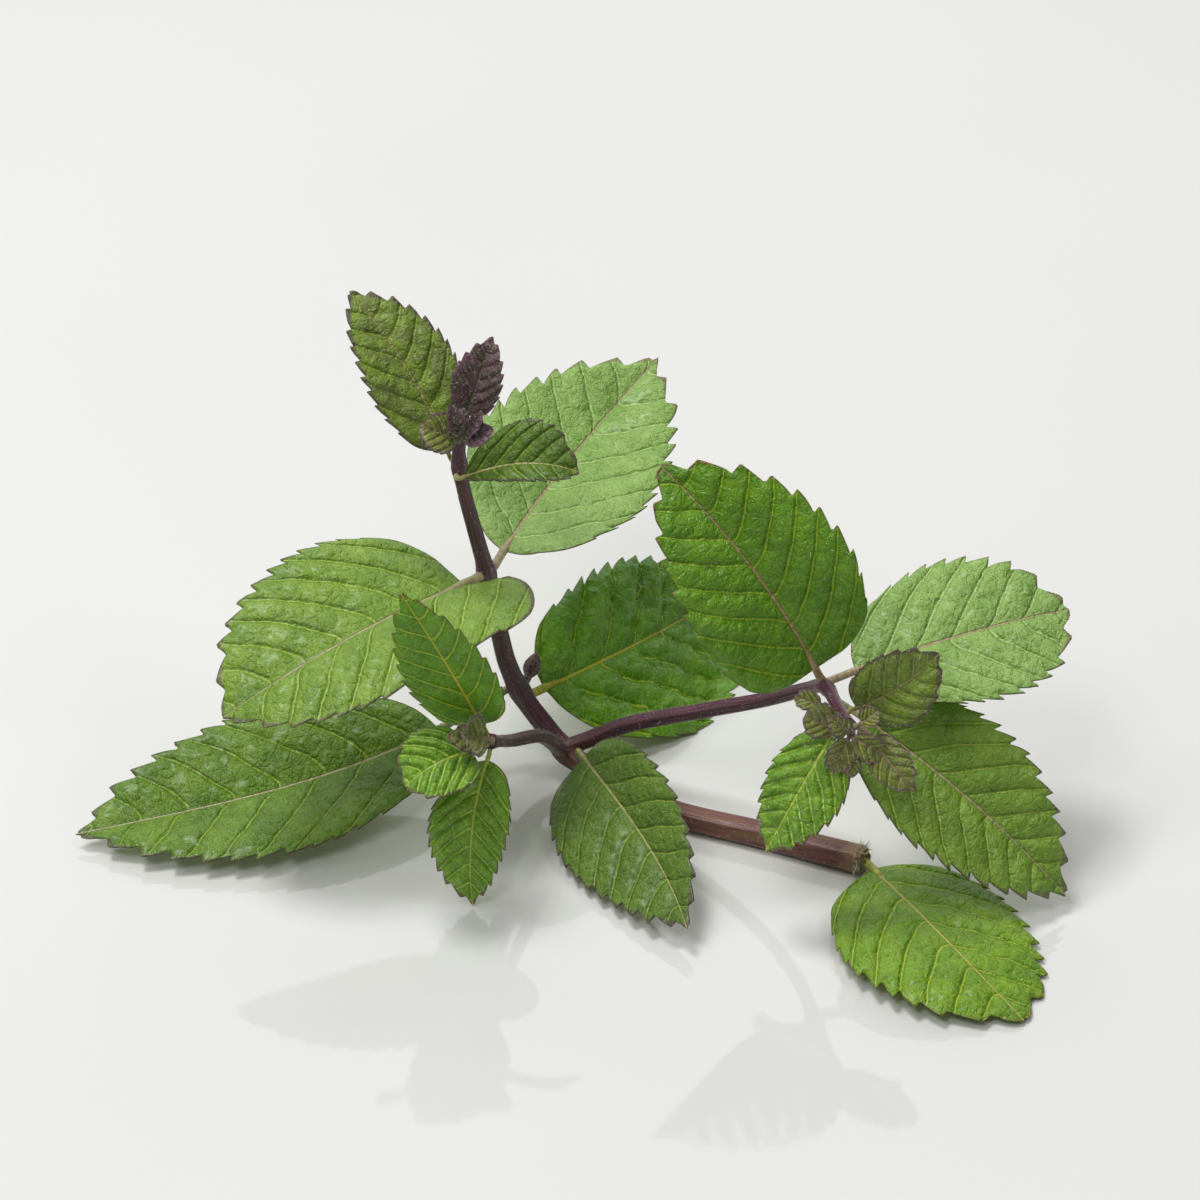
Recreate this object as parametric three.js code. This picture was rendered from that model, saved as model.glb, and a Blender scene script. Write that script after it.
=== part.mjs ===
// A cut sprig of peppermint that lies on a table: a square main stem with two side shoots, and its leaves.
// Millimetres, +Z up. The origin is on the underside of the main stem, where it lies flat on the table.
// +X is the side that the stem's cut end is on, and +Y points away from the two side shoots' tips.

import * as THREE from 'three';

const BLADE_THICKNESS = 0.5;
const STALK_SHARE = 0.022; // a leaf stalk's half width, as a share of the leaf's width
const STALK_MIN = 0.32; // half width of the thinnest stalk
const TIP_HALF_WIDTH = 0.22; // the point of a leaf isn't thinner than this
const YOUNG_WIDTH = 9; // a leaf narrower than this is a young one, with fewer faces
const FOLD_GROWTH = 3; // a blade has its full fold where it is a third of its full width

const MAIN_RADIUS = { cut: 2.0, top: 1.0 };
const RIGHT_RADIUS = { root: 1.15, top: 0.85 };
const LEFT_RADIUS = { root: 1.2, top: 0.9 };
const LYING_HEIGHT = 1.95; // height of the main stem's middle while it lies, a little less than its radius

// The section of a mint stem is a square with blunt corners.
const CORNER = 0.62;
const STEM_SECTION = [
  [CORNER, 1], [1, CORNER], [1, -CORNER], [CORNER, -1],
  [-CORNER, -1], [-1, -CORNER], [-1, CORNER], [-CORNER, 1],
];

const MAIN_PATH = [
  [20, -8.3, LYING_HEIGHT], [6.8, -2.8, LYING_HEIGHT], [-6, 2.5, LYING_HEIGHT], [-14.5, 8, 2.7],
  [-20.8, 13.2, 4.5], [-23.8, 15.6, 7.2], [-26.9, 16.6, 11.7], [-29, 16.2, 17.6],
  [-30, 15.7, 23], [-31.7, 14.7, 34.2], [-33.3, 14.3, 42], [-34.7, 14.2, 49], [-35.2, 14.4, 54], [-34.6, 14.6, 58],
];
const RIGHT_PATH = [
  [-17.8, 13.6, 6.2], [-12.5, 13, 9.2], [-2, 8.8, 14.8], [6.8, 3.9, 20.4], [12.2, -0.8, 25.6],
  [14.4, -4.8, 29], [16, -11, 30], [17.2, -16.4, 30.9],
];
const LEFT_PATH = [[-21.5, 11.3, 6.4], [-24.3, 4, 14], [-28.2, -4, 19.2], [-31, -10, 23.6]];

const LEAF_GREEN = 0x4f7d2c;
const PALE_GREEN = 0x7ea656;
const DARK_GREEN = 0x3f6a22;
const BRONZE_GREEN = 0x5d6040;
const YOUNG_PURPLE = 0x4d3540;
const STEM_PURPLE = 0x4a2b3c;

function vector(list) {
  return new THREE.Vector3(...list);
}

function mesh(name, geometry, color, roughness) {
  const material = new THREE.MeshStandardMaterial({ color, roughness, metalness: 0 });
  const part = new THREE.Mesh(geometry, material);
  part.name = name;
  return part;
}

// Moves every vertex of a geometry to the place that the function gives for it.
function reshape(geometry, place) {
  const position = geometry.attributes.position;
  const point = new THREE.Vector3();
  for (let i = 0; i < position.count; i += 1) {
    point.copy(place(point.fromBufferAttribute(position, i)));
    position.setXYZ(i, point.x, point.y, point.z);
  }
  geometry.computeVertexNormals();
  return geometry;
}

// A stem is a cylinder of eight sides, bent along its path and thinned from its root to its top.
function stem(name, path, radius, steps) {
  const curve = new THREE.CatmullRomCurve3(path.map(vector), false, 'centripetal');
  const frames = curve.computeFrenetFrames(steps, false);
  const sides = STEM_SECTION.length;
  const geometry = reshape(new THREE.CylinderGeometry(1, 1, 1, sides, steps), (p) => {
    const step = Math.round((p.y + 0.5) * steps);
    const along = step / steps;
    const size = THREE.MathUtils.lerp(radius[0], radius[1], along);
    const onAxis = Math.hypot(p.x, p.z) < 0.5;
    const turn = Math.round((Math.atan2(p.x, p.z) / (2 * Math.PI)) * sides + sides) % sides;
    const [across, up] = onAxis ? [0, 0] : STEM_SECTION[turn];
    const placed = curve.getPointAt(along);
    placed.addScaledVector(frames.binormals[step], across * size);
    placed.addScaledVector(frames.normals[step], up * size);
    placed.z = Math.max(0, placed.z);
    return placed;
  });
  return mesh(name, geometry, STEM_PURPLE, 0.45);
}

// How wide a blade is at a share of its length: 0 at both ends and 1 where it is widest.
function bladeOutline(share, widest, fullness) {
  const rise = fullness * widest;
  const fall = fullness * (1 - widest);
  const most = widest ** rise * (1 - widest) ** fall;
  return (share ** rise * (1 - share) ** fall) / most;
}

// A leaf is a thin box, bent to a blade with a stalk. base and tip are its two ends and face is the way that
// its upper side looks. The other values are in millimetres or degrees:
//   arch, sway, hook   how far the middle rises, moves sideways, and rises more in its outer half
//   fold, tilt         how far both halves rise from the midrib, and how much more the right half does
//   twist              turn of the blade from its base to its point
//   widest, fullness   where it is widest, and how pointed its ends are
//   skew, lobe         how much wider the right half is, and how far the left half reaches back past the base
function leaf(name, color, shape) {
  const {
    base, tip, face, width, stalk = 0.5, arch = 0, sway = 0, hook = 0, fold = 0, tilt = 0, twist = 0,
    widest = 0.42, fullness = 1.25, skew = 0, lobe = 0,
  } = shape;
  const young = width < YOUNG_WIDTH;
  const across = young ? 4 : 6;
  const rows = young ? 8 : 12;
  const root = vector(base);
  const run = vector(tip).sub(root);
  const length = run.length();
  const ahead = run.clone().normalize();
  const up = vector(face).addScaledVector(ahead, -vector(face).dot(ahead)).normalize();
  const right = new THREE.Vector3().crossVectors(ahead, up);
  const stalkShare = stalk / length;
  const stalkHalf = Math.max(STALK_MIN, STALK_SHARE * width);

  const geometry = reshape(new THREE.BoxGeometry(1, 1, 1, across, rows, 1), (p) => {
    const row = Math.round((p.y + 0.5) * rows);
    const side = Math.round(2 * p.x * (across / 2)) / (across / 2);
    const blade = row === 0 ? 0 : 0.5 - 0.5 * Math.cos((Math.PI * (row - 1)) / (rows - 1));
    const share = row === 0 ? 0 : stalkShare + (1 - stalkShare) * blade;
    const bow = 4 * share * (1 - share);
    const turn = THREE.MathUtils.degToRad(twist) * (share - 0.5);
    const localRight = right.clone().multiplyScalar(Math.cos(turn)).addScaledVector(up, Math.sin(turn));
    const localUp = up.clone().multiplyScalar(Math.cos(turn)).addScaledVector(right, -Math.sin(turn));
    const hand = Math.sign(side);
    const bladeShare = bladeOutline(blade, widest, fullness);
    const rise = THREE.MathUtils.degToRad(fold + tilt * hand) * Math.min(1, FOLD_GROWTH * bladeShare);
    const outline = 0.5 * width * bladeShare * (1 + skew * hand);
    const least = THREE.MathUtils.lerp(stalkHalf, TIP_HALF_WIDTH, blade);
    const reach = Math.max(outline, least) * side;
    const thick = THREE.MathUtils.lerp(BLADE_THICKNESS, 2 * stalkHalf, (1 - blade) ** 6);
    const pullBack = side < 0 ? 2 * lobe * side * side * bladeShare * (1 - blade) ** 3 : 0;

    const placed = root.clone().addScaledVector(run, share);
    placed.addScaledVector(up, arch * bow + hook * bow * (2 * share - 1));
    placed.addScaledVector(right, sway * bow);
    placed.addScaledVector(localRight, reach * Math.cos(rise));
    placed.addScaledVector(localUp, Math.abs(reach) * Math.sin(rise));
    placed.addScaledVector(ahead, -pullBack);
    placed.addScaledVector(localUp, Math.sign(p.z) * 0.5 * thick * Math.cos(rise));
    placed.addScaledVector(localRight, -hand * Math.sign(p.z) * 0.5 * thick * Math.sin(rise));
    placed.z = Math.max(0, placed.z);
    return placed;
  });
  return mesh(name, geometry, color, 0.55);
}

// A bud is a small egg that points along a direction.
function bud(name, centre, pointing, radius, length, color) {
  const geometry = new THREE.SphereGeometry(1, 10, 8);
  geometry.scale(radius, length / 2, radius);
  const part = mesh(name, geometry, color, 0.6);
  part.position.copy(vector(centre));
  part.quaternion.setFromUnitVectors(new THREE.Vector3(0, 1, 0), vector(pointing).normalize());
  return part;
}

function stems() {
  return [
    stem('main_stem', MAIN_PATH, [MAIN_RADIUS.cut, MAIN_RADIUS.top], 34),
    stem('right_side_shoot', RIGHT_PATH, [RIGHT_RADIUS.root, RIGHT_RADIUS.top], 20),
    stem('left_side_shoot', LEFT_PATH, [LEFT_RADIUS.root, LEFT_RADIUS.top], 10),
  ];
}

function mainStemLeaves() {
  return [
    leaf('base_leaf', LEAF_GREEN, {
      base: [20.9, -9.2, 1.9], tip: [40.2, -41.4, 0.8], face: [0.05, 0, 1], width: 27.5, stalk: 2,
      arch: 2.2, sway: 1.4, fold: -3, twist: 8, widest: 0.43, fullness: 1.2,
    }),
    leaf('low_front_leaf', DARK_GREEN, {
      base: [-18.8, 9.9, 6.6], tip: [-4.3, -26.4, 4.4], face: [-0.6, -0.4, 0.7], width: 20, stalk: 1.5,
      arch: 1, sway: -1.8, hook: -2, fold: 16, twist: 10, widest: 0.38, fullness: 1.45, skew: 0.14,
    }),
    leaf('low_left_leaf', LEAF_GREEN, {
      base: [-29.3, 17.7, 12], tip: [-89, -3, 2.2], face: [-0.06, -0.3, 0.95], width: 26.5, stalk: 11,
      arch: -1.4, sway: -2.9, hook: 2, fold: 14, widest: 0.42, fullness: 1.45,
    }),
    leaf('low_back_leaf', DARK_GREEN, {
      base: [-25.2, 18.5, 11], tip: [1.5, 56.5, 0.5], face: [0.42, -0.3, 0.87], width: 29.5, stalk: 2,
      arch: 2, sway: 1, fold: 12, tilt: -6, twist: 9, widest: 0.45, fullness: 1, skew: 0.14,
    }),
    leaf('middle_front_leaf', LEAF_GREEN, {
      base: [-33.6, 13.2, 34], tip: [-67, -8.5, 26.4], face: [0, -0.15, 0.98], width: 29, stalk: 1.6,
      arch: 3, sway: -1, fold: 10, tilt: 4, twist: 6, widest: 0.42, fullness: 1.1, skew: 0.13, lobe: 10,
    }),
    leaf('middle_back_leaf', PALE_GREEN, {
      base: [-30.5, 16.4, 34.4], tip: [-7.5, 60, 41], face: [0.19, -0.2, 0.96], width: 28.5, stalk: 4.5,
      arch: -5, sway: -2.5, fold: 18, twist: -10, widest: 0.44, fullness: 1.5, skew: 0.04,
    }),
    leaf('top_left_leaf', BRONZE_GREEN, {
      base: [-36.4, 15.6, 52.6], tip: [-50, 27.5, 72], face: [0.3, -0.72, 0.65], width: 14, stalk: 1.5,
      arch: 2, sway: 0.6, fold: 14, twist: -14, widest: 0.43, fullness: 1.3,
    }),
    leaf('top_right_leaf', BRONZE_GREEN, {
      base: [-35, 12.2, 51.5], tip: [-19, 11, 55], face: [0, -0.35, 1], width: 13, stalk: 2,
      arch: 0.3, hook: 1, fold: 50, twist: -6, widest: 0.56, fullness: 1.15,
    }),
    leaf('tip_leaf_back', YOUNG_PURPLE, {
      base: [-34.1, 16.3, 58.6], tip: [-30.5, 20, 69.3], face: [-0.1, -0.87, 0.5], width: 7.4,
      arch: 0.7, fold: 14, widest: 0.38, fullness: 1.3,
    }),
    leaf('tip_leaf_left', BRONZE_GREEN, {
      base: [-36.4, 13.9, 57.2], tip: [-39.4, 13.4, 58.4], face: [0.1, -0.6, 0.9], width: 4.5,
      arch: 0.8, fold: 25, widest: 0.5, fullness: 1,
    }),
    leaf('tip_leaf_right', YOUNG_PURPLE, {
      base: [-33.4, 13.4, 57.6], tip: [-30.6, 13.2, 61], face: [-0.5, -0.8, 0.5], width: 3.6,
      arch: 0.4, fold: 35, widest: 0.5, fullness: 1,
    }),
    bud('tip_bud', [-34.5, 14.6, 59.9], [0.1, 0, 1], 0.8, 3, YOUNG_PURPLE),
    bud('side_bud', [-25.6, 20.6, 14.2], [0.3, 0.6, 0.7], 1.1, 4, STEM_PURPLE),
  ];
}

function leftShootLeaves() {
  return [
    leaf('left_shoot_leaf_up', DARK_GREEN, {
      base: [-31.6, -8.9, 24.8], tip: [-42.5, -8.2, 46.8], face: [-0.3, -0.9, 0], width: 14.5, stalk: 1,
      arch: 0.8, sway: 0.9, fold: 14, twist: -9, widest: 0.36, fullness: 1.35,
    }),
    leaf('left_shoot_leaf_down', LEAF_GREEN, {
      base: [-31, -10.2, 21.6], tip: [-33.4, -16.5, 0.3], face: [0.05, -0.96, 0.25], width: 11.5, stalk: 1,
      arch: 1, sway: 1.3, fold: 10, twist: -3, widest: 0.4, fullness: 1.4, skew: 0.1,
    }),
    leaf('left_shoot_leaf_young', LEAF_GREEN, {
      base: [-32.9, -11.6, 23.2], tip: [-42.2, -16.6, 21], face: [-0.19, -0.4, 0.9], width: 12,
      arch: 1.5, fold: 12, twist: -12, widest: 0.46, fullness: 0.8,
    }),
    leaf('left_shoot_leaf_small', BRONZE_GREEN, {
      base: [-31.2, -12.6, 26], tip: [-34.4, -15.2, 28.6], face: [0.1, -0.7, 0.7], width: 7,
      arch: -0.5, fold: 35, widest: 0.5, fullness: 0.9,
    }),
    bud('left_shoot_bud', [-31.5, -11.5, 24.9], [-0.3, -0.75, 0.6], 0.5, 1.8, BRONZE_GREEN),
  ];
}

function rightShootLeaves() {
  return [
    leaf('right_shoot_leaf_tall', DARK_GREEN, {
      base: [13.6, -4.3, 30.6], tip: [-8, 3.3, 59.5], face: [0.1, -0.9, 0.35], width: 26, stalk: 1,
      arch: 2.5, sway: 1.6, fold: 22, twist: -16, widest: 0.36, fullness: 1.1, skew: 0.05,
    }),
    leaf('right_shoot_leaf_back', PALE_GREEN, {
      base: [16, -3.6, 29.4], tip: [48.6, 9.1, 32], face: [0.04, -0.3, 0.95], width: 25, stalk: 3,
      arch: 1.5, fold: 8, twist: -20, widest: 0.46, fullness: 1.2,
    }),
    leaf('right_shoot_leaf_front', PALE_GREEN, {
      base: [15.9, -6.5, 28], tip: [47.7, -17.3, 2.6], face: [0.29, -0.71, 0.64], width: 21.5, stalk: 4.5,
      arch: 2, sway: -0.9, fold: 15, twist: 6, widest: 0.4, fullness: 1.4,
    }),
    leaf('right_shoot_leaf_upper', BRONZE_GREEN, {
      base: [17.7, -13.4, 31.4], tip: [28.9, -14.5, 41.4], face: [-0.14, -0.95, 0.27], width: 11, stalk: 0.8,
      arch: 1, sway: 0.6, fold: 13, widest: 0.42,
    }),
    leaf('right_shoot_leaf_lower', LEAF_GREEN, {
      base: [15.2, -15.6, 29.3], tip: [6.2, -22.2, 14.1], face: [-0.4, -0.7, 0.55], width: 12, stalk: 0.6,
      arch: 0.3, fold: 6, twist: -4, widest: 0.39, fullness: 1.3, skew: -0.08,
    }),
    leaf('right_shoot_leaflet', PALE_GREEN, {
      base: [14.2, -9.4, 28.9], tip: [10.3, -7.8, 29.4], face: [0, -0.7, 0.7], width: 3.4,
      arch: 0.5, fold: 30, widest: 0.45, fullness: 1,
    }),
    leaf('right_bud_leaf_left', BRONZE_GREEN, {
      base: [15.9, -17.8, 31.4], tip: [11.2, -16.9, 33], face: [0, -0.9, 0.2], width: 6,
      arch: 0.6, fold: 20, widest: 0.5, fullness: 0.9, skew: 0.2,
    }),
    leaf('right_bud_leaf_right', BRONZE_GREEN, {
      base: [18.4, -18, 32.2], tip: [20.9, -17.8, 34.4], face: [-0.2, -0.75, 0.6], width: 3.6,
      arch: 0.3, fold: 30, widest: 0.5, fullness: 0.9,
    }),
    leaf('right_bud_leaf_front', BRONZE_GREEN, {
      base: [17.7, -19.5, 29.8], tip: [17.3, -21.3, 26], face: [0, -0.8, 0.6], width: 3,
      arch: 0.4, fold: 25, widest: 0.45, fullness: 1,
    }),
    leaf('right_bud_leaf_outer', BRONZE_GREEN, {
      base: [19.8, -17.9, 30.5], tip: [25.7, -23.3, 25.3], face: [-0.25, -0.78, 0.55], width: 6,
      arch: 0.7, fold: 12, widest: 0.42, fullness: 1.2,
    }),
    bud('right_shoot_bud', [17.4, -18.2, 31.1], [0.2, -0.95, 0.2], 0.6, 2, BRONZE_GREEN),
  ];
}

const sprig = new THREE.Group();
sprig.add(...stems(), ...mainStemLeaves(), ...leftShootLeaves(), ...rightShootLeaves());

export default sprig;
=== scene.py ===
import math

import bpy
import numpy as np
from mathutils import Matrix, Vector


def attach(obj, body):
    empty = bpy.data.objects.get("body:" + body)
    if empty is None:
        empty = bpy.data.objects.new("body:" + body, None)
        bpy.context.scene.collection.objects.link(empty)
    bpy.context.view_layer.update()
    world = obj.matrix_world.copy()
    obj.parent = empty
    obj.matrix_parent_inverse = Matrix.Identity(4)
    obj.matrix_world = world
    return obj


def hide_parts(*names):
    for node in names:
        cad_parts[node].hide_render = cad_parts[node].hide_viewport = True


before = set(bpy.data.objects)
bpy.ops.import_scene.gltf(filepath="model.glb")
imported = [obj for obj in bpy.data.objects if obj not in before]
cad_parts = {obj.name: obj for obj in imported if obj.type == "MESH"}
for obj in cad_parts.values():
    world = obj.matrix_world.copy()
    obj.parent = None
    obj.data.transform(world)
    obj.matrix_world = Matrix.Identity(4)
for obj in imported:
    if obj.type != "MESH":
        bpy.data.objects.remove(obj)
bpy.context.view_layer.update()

# A cut sprig of peppermint on a pale glossy table. Lengths in the tables below are in millimetres.
MM = 0.001

BLADE_THICKNESS = 0.32
MARGIN_THICKNESS = 0.14
STALK_SHARE = 0.022
STALK_MIN = 0.32
TIP_HALF_WIDTH = 0.22
CREASE = 0.5
FOLD_GROWTH = 3
TOOTH_DEPTH = 1.12
POINT_LENGTH = 0.16
POINT_SHARPNESS = 0.42
ABOVE_TABLE = 0.05
PUFF = 1.5
ROWS_PER_TOOTH = 10
ROW_SPARE = 1.15
# A tooth's long outer side and short inner side, as shares of the tooth.
TOOTH_OUTER_SIDE = 0.8
TOOTH_INNER_SIDE = 0.2
VEIN_SLANT = 0.62
VEIN_CURVE = 0.42
STALK_STEPS = 12
ROD_STEPS = 60
ROD_SIDES = 10
ROD_END = 0.96
ROD_ABOVE_TABLE = 0.03
CUT_DEPTH = 0.5
CUT_ABOVE_TABLE = 0.02

# ---------------------------------------------------------------- the stems and their joints

LYING_HEIGHT = 1.95
STEM_PATHS = {
    "main": [
        (20, -8.3, LYING_HEIGHT), (6.8, -2.8, LYING_HEIGHT), (-6, 2.5, LYING_HEIGHT), (-14.5, 8, 2.7),
        (-20.8, 13.2, 4.5), (-23.8, 15.6, 7.2), (-26.9, 16.6, 11.7), (-29, 16.2, 17.6),
        (-30, 15.7, 23), (-31.7, 14.7, 34.2), (-33.3, 14.3, 42), (-34.7, 14.2, 49), (-35.2, 14.4, 54),
        (-34.6, 14.6, 58),
    ],
    "right": [
        (-21.5, 13.4, 4.8), (-17.8, 13.6, 6.2), (-12.5, 13, 9.2), (-2, 8.8, 14.8), (6.8, 3.9, 20.4),
        (12.2, -0.8, 25.6), (14.4, -4.8, 29), (16, -11, 30), (17.2, -16.4, 30.9),
    ],
    "left": [
        (-20.9, 13.6, 4.8), (-21.5, 11.3, 6.4), (-24.3, 4, 14), (-28.2, -4, 19.2), (-31, -10, 23.6),
    ],
}
STEM_RADII = {"main": (1.85, 0.78), "right": (1.1, 0.8), "left": (1.05, 0.8)}
# Where the leaves sit, the stem is thicker: a point near it and how much thicker.
STEM_JOINTS = {
    "main": [((-20.8, 13.2, 4.5), 0.22), ((-28, 16.5, 12.5), 0.2), ((-31.7, 14.7, 34.2), 0.28),
             ((-35.1, 14.3, 52), 0.3)],
    "right": [((14.6, -5.4, 29.2), 0.35), ((17.2, -16.4, 30.9), 0.3)],
    "left": [((-31, -10, 23.6), 0.4)],
}
JOINT_LENGTH = 1.7
STEM_STEPS = 150


def smooth_path(points, count):
    """A smooth curve through the points, as evenly spaced samples (centripetal Catmull-Rom)."""
    p = np.array(points, float)
    p = np.vstack([2 * p[0] - p[1], p, 2 * p[-1] - p[-2]])
    samples = []
    for i in range(1, len(p) - 2):
        a, b, c, d = p[i - 1:i + 3]
        knots = np.cumsum([0] + [np.linalg.norm(y - x) ** 0.5 for x, y in ((a, b), (b, c), (c, d))])
        t = np.linspace(knots[1], knots[2], 24, endpoint=i == len(p) - 3)[:, None]
        ab = ((knots[1] - t) * a + (t - knots[0]) * b) / (knots[1] - knots[0])
        bc = ((knots[2] - t) * b + (t - knots[1]) * c) / (knots[2] - knots[1])
        cd = ((knots[3] - t) * c + (t - knots[2]) * d) / (knots[3] - knots[2])
        abc = ((knots[2] - t) * ab + (t - knots[0]) * bc) / (knots[2] - knots[0])
        bcd = ((knots[3] - t) * bc + (t - knots[1]) * cd) / (knots[3] - knots[1])
        samples.append(((knots[2] - t) * abc + (t - knots[1]) * bcd) / (knots[2] - knots[1]))
    line = np.vstack(samples)
    lengths = np.concatenate([[0], np.cumsum(np.linalg.norm(np.diff(line, axis=0), axis=1))])
    wanted = np.linspace(0, lengths[-1], count)
    return np.column_stack([np.interp(wanted, lengths, line[:, k]) for k in range(3)])


STEM_LINES = {name: smooth_path(path, STEM_STEPS) for name, path in STEM_PATHS.items()}


def stem_radius(name):
    line = STEM_LINES[name]
    first, last = STEM_RADII[name]
    radius = np.linspace(first, last, len(line))
    for place, more in STEM_JOINTS[name]:
        distance = np.linalg.norm(line - np.array(place), axis=1)
        radius = radius * (1 + more * np.exp(-(distance / JOINT_LENGTH) ** 2))
    return radius


# ---------------------------------------------------------------- the leaves

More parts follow.
